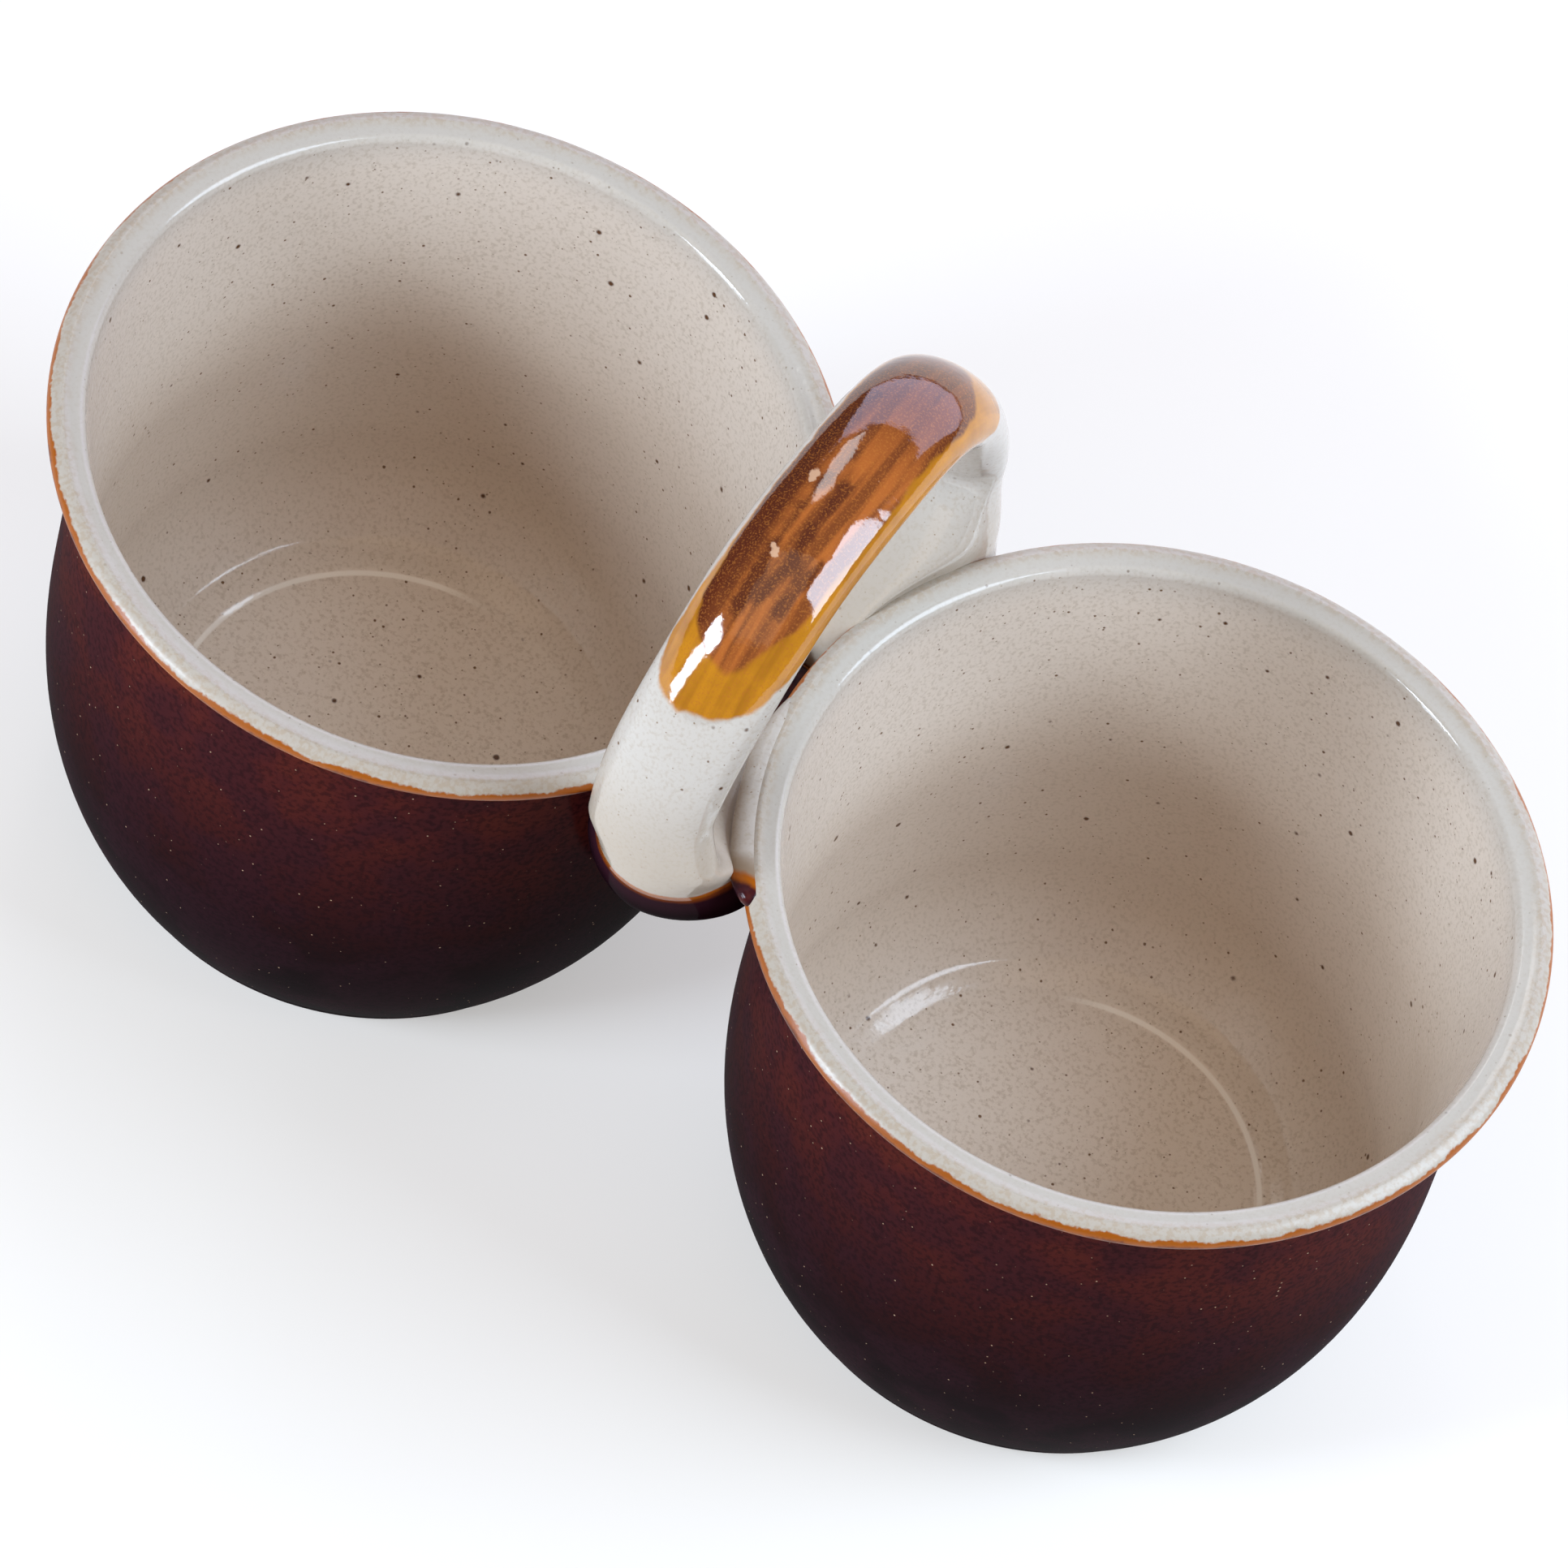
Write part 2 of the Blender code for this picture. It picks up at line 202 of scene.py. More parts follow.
def thrownSurface(tree, position, run, ringDepth):
    # orange peel, pinholes and faint throwing rings
    peel = add(tree, "TexNoise", {"Vector": position, "Scale": 1 / (2.6 * mm)})[0]
    pinholes = add(tree, "TexNoise", {"Vector": position, "Scale": 1 / (0.55 * mm)})[0]
    ringPlace = add(tree, "CombineXYZ", {0: run})[0]  # rings about 1.6 mm apart along the section
    rings = add(tree, "TexNoise", {"Vector": ringPlace, "Scale": 1 / 1.6, "Detail": 3.0})[0]
    peel = add(tree, "Math", {0: peel, 1: 0.5}, operation="MULTIPLY")[0]
    height = add(tree, "Math", {0: pinholes, 1: 0.16, 2: peel}, operation="MULTIPLY_ADD")[0]
    return add(tree, "Math", {0: rings, 1: ringDepth, 2: height}, operation="MULTIPLY_ADD")[0]


# cream stoneware glaze of the insides and lips: pale and speckled, wet inside, drier and sandy on the lip
creamGlaze, tree, position = startMaterial("creamStonewareGlaze")
colour, run = dippedColour(tree, position)
rough = add(tree, "TexNoise", {"Vector": position, "Scale": 1 / (1.4 * mm)})[0]
rough = add(tree, "MapRange", {0: rough, 1: 0.3, 2: 0.7, 3: 0.07, 4: 0.14})[0]
lip = add(tree, "MapRange", {0: run, 1: 4.2, 2: 2.2, 4: 0.22}, **softStep)[0]
rough = add(tree, "Math", {0: rough, 1: lip}, operation="ADD")[0]
finishMaterial(tree, colour, rough, thrownSurface(tree, position, run, 0.35), 0.09, Specular_IOR_Level=0.5)

# a weak clear coat is the dark glaze's only gloss, because full gloss would turn it grey above white paper
darkGloss = {"Specular_IOR_Level": 0.0, "Coat_Weight": 0.05, "Coat_Roughness": 0.08, "Coat_IOR": 1.6}

# dark iron glaze of the outsides: deep maroon clouded with plum, faintly glossy, with a few pale flecks
brownGlaze, tree, position = startMaterial("ironBrownGlaze")
colour, run = dippedColour(tree, position)
rough = add(tree, "TexNoise", {"Vector": position, "Scale": 1 / (1.8 * mm)})[0]
rough = add(tree, "MapRange", {0: rough, 1: 0.3, 2: 0.7, 3: 0.07, 4: 0.13})[0]
finishMaterial(tree, colour, rough, thrownSurface(tree, position, run, 0.1), 0.05, **darkGloss)

# unglazed stoneware of the foot rings: dry, sandy buff clay
clay = {"buff": "#d3b28d", "sand": "#b79e82"}
bareClay, tree, position = startMaterial("bareStoneware")
sand = add(tree, "TexNoise", {"Vector": position, "Scale": 1 / (0.6 * mm), "Detail": 4.0})[0]
share = add(tree, "MapRange", {0: sand, 1: 0.3, 2: 0.7}, **softStep)[0]
colour = add(tree, "Mix", {0: share, 6: linear(clay["buff"]), 7: linear(clay["sand"])}, **colourMix)[2]
finishMaterial(tree, colour, 0.85, sand, 0.12)
print("glazes of the pots made")


# a pot, in millimetres: heights from the table, radii from its own axis
pot = {
    "axis": 61.75, "rim": 60.0, "edgeHeight": 94.7, "edgeRound": 1.2, "crest": 57.7, "rimHeight": 96.5,
    "lipPower": 1.6, "body": 54.0, "cove": 7.0, "bellyHeight": 50.0, "bellyPower": 2.4,
    "base": 41.2, "baseRound": 1.4, "ringWidth": 5.5, "ringEase": (0.5, 0.25),
    "recess": 2.5, "recessEdge": 2.2, "recessRound": 1.2, "undersideRings": (0.0, 12.0, 24.0),
    "bandDrop": 0.4, "bandShares": (0.15, 0.3, 0.65), "innerEdge": 55.5, "innerRound": 1.5, "mouth": 54.2,
    "flareDepth": 46.0, "flarePower": 1.5, "wall": 4.8, "cornerTop": 28.0, "wallPull": (0.3, 6.5),
    "sweepPull": 4.6, "coneFoot": (38.0, 12.3), "cornerRound": 1.6,
    "floor": 10.5, "floorRings": (30.0, 26.0, 20.0, 12.0, 5.0, 0.0),
    # the floor's crease: its arc on each pot in degrees from the front, and which of its steps carry a painted
    # reflection, a pale line
    "crease": 32.0, "creaseRound": 0.5, "creaseRamp": 0.9, "creaseStep": 0.55, "creaseLead": (0.3, 0.7),
    "creaseSteps": 8, "paintedReflectionSteps": (3, 5), "creaseArcs": {-1: (-165, -85), 1: (118, 195)}, "creaseFade": 15,
    "leans": {-1: (0.7, 0.0), 1: (0.0, 0.0)}, "rimTilts": {-1: (-3.3, -1.4), 1: (0.0, 0.0)},
    "turns": 192, "sharpAngle": 50, "creamEdge": -0.3,
}


def potCentre(side, height):
    # the left pot leans a little, as thrown pots do
    lean = pot["leans"][side]
    share = height / pot["rimHeight"]
    return side * pot["axis"] + lean[0] * share, lean[1] * share


def rimRise(side, x, y, height):
    # the left rim is uneven: what it stands above or below level at a place, less further down the pot
    tilt = pot["rimTilts"][side]
    share = np.minimum(height / pot["rimHeight"], 1.0) ** 2
    return share * (tilt[0] * (x - side * pot["axis"]) + tilt[1] * y) / pot["rim"]


def bodyRadius(height):
    low = max(pot["bellyHeight"] - height, 0.0) / pot["bellyHeight"]
    return pot["body"] - (pot["body"] - pot["base"]) * low ** pot["bellyPower"]


def outsideRadius(height):
    # radius of a pot's outside at a height, lip included
    p = pot
    edge = p["rim"] - p["edgeRound"]
    coveTop = p["edgeHeight"] - p["edgeRound"]
    if height >= p["edgeHeight"]:
        up = min((height - p["edgeHeight"]) / (p["rimHeight"] - p["edgeHeight"]), 1.0)
        return p["crest"] + (p["rim"] - p["crest"]) * (1 - up ** p["lipPower"]) ** (1 / p["lipPower"])
    if height >= coveTop:
        down = (p["edgeHeight"] - height) / p["edgeRound"]
        return edge + p["edgeRound"] * math.sqrt(1 - down * down)
    if height >= coveTop - p["cove"]:
        up = (height - coveTop + p["cove"]) / p["cove"]
        return edge - (edge - p["body"]) * math.sqrt(1 - up * up)
    return bodyRadius(height)


def potProfile():
    # half section from the underside's middle, up the outside, over the lip and down to the floor's middle
    p = pot
    ringOuter = bodyRadius(p["baseRound"]) - p["baseRound"]
    ringInner = ringOuter - p["ringWidth"]
    line = [(r, p["recess"]) for r in p["undersideRings"]]
    turn, ease = p["recessRound"], p["ringEase"]
    line += arc((ringInner - p["recessEdge"], p["recess"] - turn), (turn, turn), 90, 30, 3)
    line += [(ringInner - ease[0], ease[1]), (ringInner, 0.0), (ringOuter, 0.0)]
    line += arc((ringOuter, p["baseRound"]), (p["baseRound"], p["baseRound"]), -90, 0, 5)[1:]
    coveFoot = p["edgeHeight"] - p["edgeRound"] - p["cove"]
    line += [(bodyRadius(h), h) for h in np.linspace(p["baseRound"], coveFoot, 34)[1:-1]]
    edge = p["rim"] - p["edgeRound"]
    line += arc((edge, coveFoot), (edge - p["body"], p["cove"]), 180, 90, 12)
    line += arc((edge, p["edgeHeight"]), (p["edgeRound"], p["edgeRound"]), -90, 0, 6)[1:]
    edgePlace = len(line) - 1
    lipRise = p["rimHeight"] - p["edgeHeight"]
    line += arc((p["crest"], p["edgeHeight"]), (p["rim"] - p["crest"], lipRise), 0, 90, 12, p["lipPower"])[1:]
    # inside the crest a flat band, then a tight edge down into the wall
    band = p["rimHeight"] - p["bandDrop"]
    for share in p["bandShares"]:
        drop = p["bandDrop"] * math.sin(share * math.pi / 2)
        line.append((blend(p["crest"], p["innerEdge"], share), p["rimHeight"] - drop))
    mouthHeight = band - p["innerRound"]
    line += arc((p["innerEdge"], mouthHeight), (p["innerEdge"] - p["mouth"], p["innerRound"]), 90, 180, 10)
    flareFoot = p["rimHeight"] - p["flareDepth"]
    throat = p["body"] - p["wall"]
    for h in np.linspace(mouthHeight, flareFoot, 26)[1:]:
        share = (h - flareFoot) / (mouthHeight - flareFoot)
        line.append((blend(throat, p["mouth"], share ** p["flarePower"]), h))
    for h in np.linspace(flareFoot, p["cornerTop"], 16)[1:]:
        line.append((bodyRadius(h) - p["wall"], h))
    # the wall sweeps down at 45 degrees, turns into a shallow cone and meets the flat floor in a tight crease
    cone, crease = p["coneFoot"], (p["crease"], p["floor"])
    slope = (cone[1] - crease[1]) / (cone[0] - crease[0])
    turn = p["cornerRound"]
    top, foot = (cone[0] + turn, cone[1] + turn), (cone[0] - turn, cone[1] - slope * turn)
    wallFoot, pull, sweep = line[-1], p["wallPull"], p["sweepPull"]
    pulled = (wallFoot[0] - pull[0], wallFoot[1] - pull[1])
    line += bezier([wallFoot, pulled, (top[0] + sweep, top[1] + sweep), top], 16)[1:]
    line += bezier([top, cone, cone, foot], 8)[1:]
    reach = p["creaseRound"]
    creasePlace = len(line)
    ramp = (crease[0] + p["creaseRamp"], crease[1] + p["creaseStep"])
    start = (ramp[0] + reach, ramp[1] + slope * reach)
    line += [(blend(foot[0], start[0], t), blend(foot[1], start[1], t)) for t in p["creaseLead"]]
    line += bezier([start, ramp, crease, (crease[0] - reach, crease[1])], p["creaseSteps"])
    line += [(r, p["floor"]) for r in p["floorRings"]]
    return line, edgePlace, creasePlace


def makePot(name, node, side):
    line, edgePlace, creasePlace = potProfile()
    centre = side * pot["axis"] * mm
    bpy.ops.object.select_all(action="DESELECT")
    bpy.ops.mesh.primitive_plane_add(size=0.01, location=(0, 0, 0))
    made = bpy.context.object
    made.name = name
    bpy.ops.object.mode_set(mode="EDIT")
    bpy.ops.mesh.select_all(action="SELECT")
    bpy.ops.mesh.merge(type="CENTER")
    bpy.ops.transform.translate(value=(centre + line[0][0] * mm, 0, line[0][1] * mm))
    for before, after in zip(line, line[1:]):
        step = ((after[0] - before[0]) * mm, 0, (after[1] - before[1]) * mm)
        bpy.ops.mesh.extrude_region_move(TRANSFORM_OT_translate={"value": step})
    bpy.ops.mesh.select_all(action="SELECT")
    bpy.ops.mesh.spin(steps=pot["turns"], angle=2 * math.pi, center=(centre, 0, 0), axis=(0, 0, 1),
                      use_auto_merge=True)
    bpy.ops.mesh.select_all(action="SELECT")
    bpy.ops.mesh.remove_doubles(threshold=0.002 * mm)
    bpy.ops.mesh.normals_make_consistent(inside=False)
    bpy.ops.object.mode_set(mode="OBJECT")
    # lipRun: millimetres along the section from the lip's outer edge, positive to the inside
    points = np.array(line)
    runs = np.concatenate([[0], np.cumsum(np.hypot(*np.diff(points, axis=0).T))])
    runs -= runs[edgePlace]
    places = np.array([v.co for v in made.data.vertices]) / mm
    radii = np.hypot(places[:, 0] - side * pot["axis"], places[:, 1])
    apart = (radii[:, None] - points[None, :, 0]) ** 2 + (places[:, 2:3] - points[None, :, 1]) ** 2
    nearest = np.argmin(apart, axis=1)
    run = runs[nearest]
    # outside its arc the crease dies away, and so does the painted reflection along it
    first, last = pot["creaseArcs"][side]
    azimuth = np.degrees(np.arctan2(places[:, 0] - side * pot["axis"], -places[:, 1])) % 360
    beyond = np.abs((azimuth - (first + last) / 2 + 180) % 360 - 180) - (last - first) / 2
    fade = np.clip(beyond / pot["creaseFade"], 0, 1)
    start = creasePlace + len(pot["creaseLead"])
    end = start + pot["creaseSteps"] + 1
    rises = np.zeros(len(line))
    rises[creasePlace:start] = pot["creaseLead"]
    above = points[start:end, 1] - pot["floor"]
    rises[start:end] = above / above[0]
    places[:, 2] -= pot["creaseStep"] * fade * rises[nearest]
    rise = rimRise(side, *places.T)
    shares = places[:, 2:3] / pot["rimHeight"]
    places[:, :2] += shares * pot["leans"][side]
    places[:, 2] += rise
    made.data.vertices.foreach_set("co", (places * mm).astype(np.float32).ravel())
    # the painted reflection: a pale line on a few steps of the crease, within its arc
    firstReflectionStep, lastReflectionStep = (start + step for step in pot["paintedReflectionSteps"])
    markPoints(made, "lipRun", run)
    markPoints(made, "paintedReflectionLine", (1 - fade) * ((nearest >= firstReflectionStep) & (nearest <= lastReflectionStep)))
    bare = runs[[i for i, point in enumerate(line) if point[1] == 0.0][-1]]
    for glaze in (creamGlaze, brownGlaze, bareClay):
        made.data.materials.append(glaze)
    for face in made.data.polygons:
        middle = run[list(face.vertices)].mean()
        face.material_index = 0 if middle > pot["creamEdge"] else 2 if middle < bare else 1
    bpy.ops.object.shade_smooth_by_angle(angle=math.radians(pot["sharpAngle"]))
    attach(made, "root")
    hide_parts(node)


makePot("leftPot", "left_pot", -1)
makePot("rightPot", "right_pot", 1)
print("pots made")

# the handle, in millimetres: an arch over the gap between the pots, with fishtail feet that fill both ends
handle = {
    "halfSpan": 41.2, "rise": 44.9, "spring": 22.0, "power": 2.75, "thickness": 11.6,
    "strapWidth": 18.7, "legWidth": 18.8, "legFade": 28.0,
    "ankleWidth": 22.7, "ankleTop": 108.0, "ankleFade": 14.0,
    "footWidth": 28.0, "flareTop": 95.5, "flareFade": 10.0,
    "footDepth": 40.0, "squareness": 4.0, "leanIn": 0.25,
    "frontDepth": 13.0, "frontTop": 99.5, "frontFade": 6.0, "frontPower": 1.75,
    "webTop": 112.0, "webFade": 18.0, "frontWebTop": 97.5, "frontWebFade": 9.0,
    "footDrop": 17.2, "footRound": 8.0, "footTip": 0.3, "flankLean": 12.0, "flankRise": 18.0, "bite": 0.8,
    "legShift": -1.4, "shiftRise": 40.0, "shiftFade": 30.0, "ankleShift": 1.0, "footShift": 1.0,
    "edgeSoftness": 2.5, "round": 72, "stations": 190, "endCrowding": 0.35, "archSamples": 6001,
}


def archLine():
    h = handle
    angles = np.linspace(0, math.pi, h["archSamples"])
    power = 2 / h["power"]
    ys = -np.sign(np.cos(angles)) * np.abs(np.cos(angles)) ** power * h["halfSpan"]
    low, high = pot["rimHeight"] - h["spring"], pot["rimHeight"] + h["rise"]
    zs = low + (high - low) * np.abs(np.sin(angles)) ** power
    keep = zs >= pot["rimHeight"] - h["footDrop"]
    ys, zs = ys[keep], zs[keep]
    lengths = np.concatenate([[0], np.cumsum(np.hypot(np.diff(ys), np.diff(zs)))])
    wanted = lengths[-1] * (1 - np.cos(np.linspace(0, math.pi, h["stations"] + 1))) / 2
    crowding = h["endCrowding"]  # stations stand closer together in the feet
    wanted = crowding * wanted + (1 - crowding) * np.linspace(0, lengths[-1], h["stations"] + 1)
    return np.interp(wanted, lengths, ys), np.interp(wanted, lengths, zs), wanted - lengths[-1] / 2


def clearPots(x, y, z):
    # a foot's flanks follow the pots: points inside a pot move out to its wall, with a soft edge
    edge = pot["edgeHeight"]
    for side in (-1, 1):
        level = z - rimRise(side, x, y, z)
        limit = outsideRadius(level)
        if level >= edge:  # above the lip the flanks lean over it
            limit = pot["rim"] - handle["flankLean"] * ((level - edge) / handle["flankRise"]) ** 2
        limit -= handle["bite"]
        middle = potCentre(side, z)
        across, ahead = x - middle[0], y - middle[1]
        far = math.hypot(across, ahead)
        soft = handle["edgeSoftness"]
        near = max(soft - abs(far - limit), 0.0) / soft
        moved = max(far, limit) + near * near * soft / 4
        x, y = middle[0] + across * moved / far, middle[1] + ahead * moved / far
    return x, y, z


def handleRings():
    h = handle
    ys, zs, runs = archLine()
    dy, dz = np.gradient(ys), np.gradient(zs)
    rim = pot["rimHeight"]
    angles = [2 * math.pi * i / h["round"] for i in range(h["round"])]
    rings = []
    for y, z, ry, rz in zip(ys, zs, dy, dz):
        length = math.hypot(ry, rz)
        out = (-rz / length, ry / length)
        spread = smooth((h["webTop"] - z) / h["webFade"])
        if y < 0:  # the front web stays below the lips
            spread = smooth((h["frontWebTop"] - z) / h["frontWebFade"])
        strap = blend(h["strapWidth"], h["legWidth"], smooth((rim + h["rise"] - z) / h["legFade"]))
        ankle = smooth((h["ankleTop"] - z) / h["ankleFade"])
        flare = smooth((h["flareTop"] - z) / h["flareFade"])
        rounding = min(max(rim - h["footDrop"] + h["footRound"] - z, 0.0), h["footRound"] - h["footTip"])
        fullness = math.sqrt(1 - (rounding / h["footRound"]) ** 2)
        halfWidth = blend(blend(strap, h["ankleWidth"], ankle), h["footWidth"], flare) / 2 * fullness
        toe = smooth((h["frontTop"] - z) / h["frontFade"]) if y < 0 else spread
        front = blend(h["thickness"] / 2, h["frontDepth"], toe)
        inner = blend(h["thickness"], h["footDepth"], spread) - front
        middle = h["thickness"] / 2 - front - h["leanIn"] * max(h["flareTop"] - z, 0.0)
        innerPower = 2 / blend(2, h["squareness"], spread)
        frontPower = 2 / blend(2, h["frontPower"], flare)
        shift = h["legShift"] * smooth((rim + h["shiftRise"] - z) / h["shiftFade"]) if y < 0 else 0.0
        shift = blend(blend(shift, h["ankleShift"], ankle), h["footShift"], flare)
        ring = []
        for angle in angles:
            across, along = math.cos(angle), math.sin(angle)
            power, depth = (innerPower, inner) if along < 0 else (frontPower, front)
            x = shift + halfWidth * math.copysign(abs(across) ** power, across)
            reach = middle + depth * fullness * math.copysign(abs(along) ** power, along)
            ring.append(clearPots(x, y + out[0] * reach, z + out[1] * reach))
        rings.append(ring)
    return rings, runs


# the brushed grip: outlines as (millimetres along the strap from its crown, degrees around it from the top)
brush = {
    "ochre": ((-39.2, -10), (-38.8, -25), (-37.5, -45), (-35, -62), (-31, -70), (-25, -67), (-18, -63),
              (-8, -62.5), (4, -63), (14, -66), (24, -68), (31, -62), (35.5, -45), (37.5, -15), (37, 20),
              (34.5, 55), (31, 85), (27, 97), (15, 98), (0, 96), (-15, 95), (-24, 90), (-29.5, 76),
              (-31.5, 66), (-34.2, 56), (-36.6, 33), (-38.5, 5)),
    "dark": ((-31.6, 10), (-30.7, -12), (-29.2, -31), (-27.5, -45), (-24, -53), (-19, -58), (-10, -61),
             (0, -61), (10, -62), (20, -60), (27, -48), (31, -25), (32, 0), (30.3, 15), (26.2, 35),
             (22.4, 53), (17, 59), (11, 56), (5, 54), (-3, 58), (-10, 56), (-16, 51), (-22, 49), (-26, 35),
             (-30, 22)),
    "streaks": (((3.5, -9), (-3.4, -13), (-11, -17), (-15.7, -16), (-24.7, -11)),
                ((-3, 7), (-11.6, 3), (-15.9, 8), (-21.9, -1)), ((-14, 30), (-22, 22)),
                ((14, -30), (4, -40), (-8, -45))),
    # bare spots as (along, around, radius), and the dip's edge as heights at places from front to rear
    "spots": ((-3.2, -27, 0.75), (-4.3, -25, 0.6), (-15.4, -14, 0.55), (-16.2, -11, 0.6), (0.8, 23, 0.2),
              (-22, 4, 0.2)),
    "dipLine": ((-34, -29, 0, 1), (94.1, 86.0, 86.0, 88.5)), "footFrom": -0.8, "perDegree": 0.135,
    "ochreTone": "#c8851e", "ochreDeep": "#a56a1a", "russet": "#b5662e", "edge": "#5c2817",
    "grain": "#c47a35", "shade": "#50241a", "bare": "#d3a988",
}


def lineDistance(points, line):
    # least distance of each point from a chain of straight pieces
    least = np.full(len(points), 1e9)
    for a, b in zip(line, line[1:]):
        a, b = np.array(a), np.array(b)
        share = np.clip((points - a) @ (b - a) / ((b - a) @ (b - a)), 0, 1)
        least = np.minimum(least, np.hypot(*(points - a - share[:, None] * (b - a)).T))
    return least


def outlineDistance(points, outline):
    # distance from a closed outline, negative inside
    closed = outline + outline[:1]
    inside = np.zeros(len(points), bool)
    for (ax, ay), (bx, by) in zip(closed, closed[1:]):
        spans = (ay > points[:, 1]) != (by > points[:, 1])
        if ay != by:
            inside ^= spans & (points[:, 0] < ax + (points[:, 1] - ay) * (bx - ax) / (by - ay))
    return lineDistance(points, closed) * np.where(inside, -1, 1)


def tubeThrough(name, rings):
    # a filled circle is extruded once for each section, then every section's points go to their places
    bpy.ops.object.select_all(action="DESELECT")
    bpy.ops.mesh.primitive_circle_add(vertices=len(rings[0]), radius=0.01, fill_type="NGON",
                                      location=(0, 0, 0))
    made = bpy.context.object
    made.name = name
    bpy.ops.object.mode_set(mode="EDIT")
    bpy.ops.mesh.select_all(action="SELECT")
    for _ in rings[1:]:
        bpy.ops.mesh.extrude_region_move(TRANSFORM_OT_translate={"value": (0, 0, mm)})
    bpy.ops.object.mode_set(mode="OBJECT")
    places = np.array(rings, dtype=np.float32).reshape(-1, 3) * mm
    made.data.vertices.foreach_set("co", places.ravel())
    bpy.ops.object.mode_set(mode="EDIT")
    bpy.ops.mesh.select_all(action="SELECT")
    bpy.ops.mesh.normals_make_consistent(inside=False)
    bpy.ops.object.mode_set(mode="OBJECT")
    made.data.calc_loop_triangles()
    corners = np.array([[made.data.vertices[i].co for i in face.vertices] for face in made.data.loop_triangles])
    volume = np.sum(corners[:, 0] * np.cross(corners[:, 1], corners[:, 2])) / 6
    if volume < 0:  # a thin slip can come out of the recalculation inside out
        bpy.ops.object.mode_set(mode="EDIT")
        bpy.ops.mesh.flip_normals()
        bpy.ops.object.mode_set(mode="OBJECT")
    bpy.ops.object.shade_smooth_by_angle(angle=math.radians(60))
    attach(made, "root")
    return made


def dipOver(tree, position, colour):
    # the brown dip of the feet, from its thin amber edge down to full plum
    wobble = add(tree, "TexNoise", {"Vector": position, "Scale": 1 / (5 * mm), "Detail": 4.0})[0]
    lift = add(tree, "Attribute", {}, attribute_name="lift")["Fac"]
    lift = add(tree, "Math", {0: wobble, 1: 1.2, 2: lift}, operation="MULTIPLY_ADD")[0]
    tones = ((0.95, 0.35, "amber"), (0.2, -0.6, "rust"), (-0.4, -1.8, "plum"), (-2.0, -7.0, "low"))
    for high, low, tone in tones:
        share = add(tree, "MapRange", {0: lift, 1: high, 2: low}, **softStep)[0]
        colour = add(tree, "Mix", {0: share, 6: colour, 7: linear(iron[tone])}, **colourMix)[2]
    return colour


# cream glaze of the handle, brushed over the grip with ochre and red-brown iron: wet gloss, grainy strokes
handleGlaze, tree, position = startMaterial("brushedHandleGlaze")
colour = creamBody(tree, position, 0.0)
mark = {name: add(tree, "Attribute", {}, attribute_name=name)["Fac"]
        for name in ("along", "around", "ochre", "dark", "streak", "spot")}
sideways = add(tree, "SeparateXYZ", {0: position})[0]
# brush hairs, drawn out 12 times along the strap
hairs = add(tree, "Math", {0: mark["along"], 1: 0.08 * mm}, operation="MULTIPLY")[0]
hairs = add(tree, "CombineXYZ", {0: sideways, 1: hairs})[0]
hairs = add(tree, "TexNoise", {"Vector": hairs, "Scale": 1 / (2.2 * mm), "Detail": 3.0})[0]
wobble = add(tree, "TexNoise", {"Vector": position, "Scale": 1 / (4 * mm), "Detail": 4.0})[0]
wobble = add(tree, "MapRange", {0: wobble, 1: 0.25, 2: 0.75, 3: -0.5, 4: 0.5})[0]
grain = add(tree, "TexNoise", {"Vector": position, "Scale": 1 / (0.3 * mm), "Detail": 2.0})[0]
share = add(tree, "Math", {0: wobble, 1: 0.25, 2: hairs}, operation="MULTIPLY_ADD")[0]
share = add(tree, "MapRange", {0: share, 1: 0.32, 2: 0.75}, **softStep)[0]
tones = [linear(brush[name]) for name in ("ochreTone", "ochreDeep")]
ochre = add(tree, "Mix", {0: share, 6: tones[0], 7: tones[1]}, **colourMix)[2]
share = add(tree, "MapRange", {0: grain, 1: 0.5, 2: 0.7, 4: 0.45}, **softStep)[0]
ochre = add(tree, "Mix", {0: share, 6: ochre, 7: linear(brush["russet"])}, **colourMix)[2]
# the brush was fuller on the left and beyond the crown
left = add(tree, "Math", {0: wobble, 1: 14.0, 2: mark["around"]}, operation="MULTIPLY_ADD")[0]
left = add(tree, "MapRange", {0: left, 1: -5.0, 2: -42.0}, **softStep)[0]
crown = add(tree, "MapRange", {0: mark["along"], 1: 0.0, 2: 16.0, 4: 0.75}, **softStep)[0]
left = add(tree, "Math", {0: left, 1: crown}, operation="MAXIMUM")[0]
dark = add(tree, "Mix", {0: left, 6: linear(brush["russet"]), 7: linear(brush["edge"])}, **colourMix)[2]
share = add(tree, "MapRange", {0: hairs, 1: 0.4, 2: 0.62, 4: 0.65}, **softStep)[0]
dark = add(tree, "Mix", {0: share, 6: dark, 7: linear(brush["shade"])}, **colourMix)[2]
share = add(tree, "Math", {0: wobble, 1: 1.2, 2: mark["streak"]}, operation="MULTIPLY_ADD")[0]
share = add(tree, "MapRange", {0: share, 1: 1.3, 2: 0.2, 4: 0.85}, **softStep)[0]
dark = add(tree, "Mix", {0: share, 6: dark, 7: linear(brush["shade"])}, **colourMix)[2]
share = add(tree, "MapRange", {0: grain, 1: 0.5, 2: 0.66, 4: 0.38}, **softStep)[0]
dark = add(tree, "Mix", {0: share, 6: dark, 7: linear(brush["grain"])}, **colourMix)[2]
edge = add(tree, "Math", {0: mark["ochre"], 1: wobble}, operation="ADD")[0]
share = add(tree, "MapRange", {0: edge, 1: 0.5, 2: -0.4}, **softStep)[0]
colour = add(tree, "Mix", {0: share, 6: colour, 7: ochre}, **colourMix)[2]
edge = add(tree, "Math", {0: mark["dark"], 1: wobble}, operation="ADD")[0]
share = add(tree, "MapRange", {0: edge, 1: 0.4, 2: -0.5}, **softStep)[0]
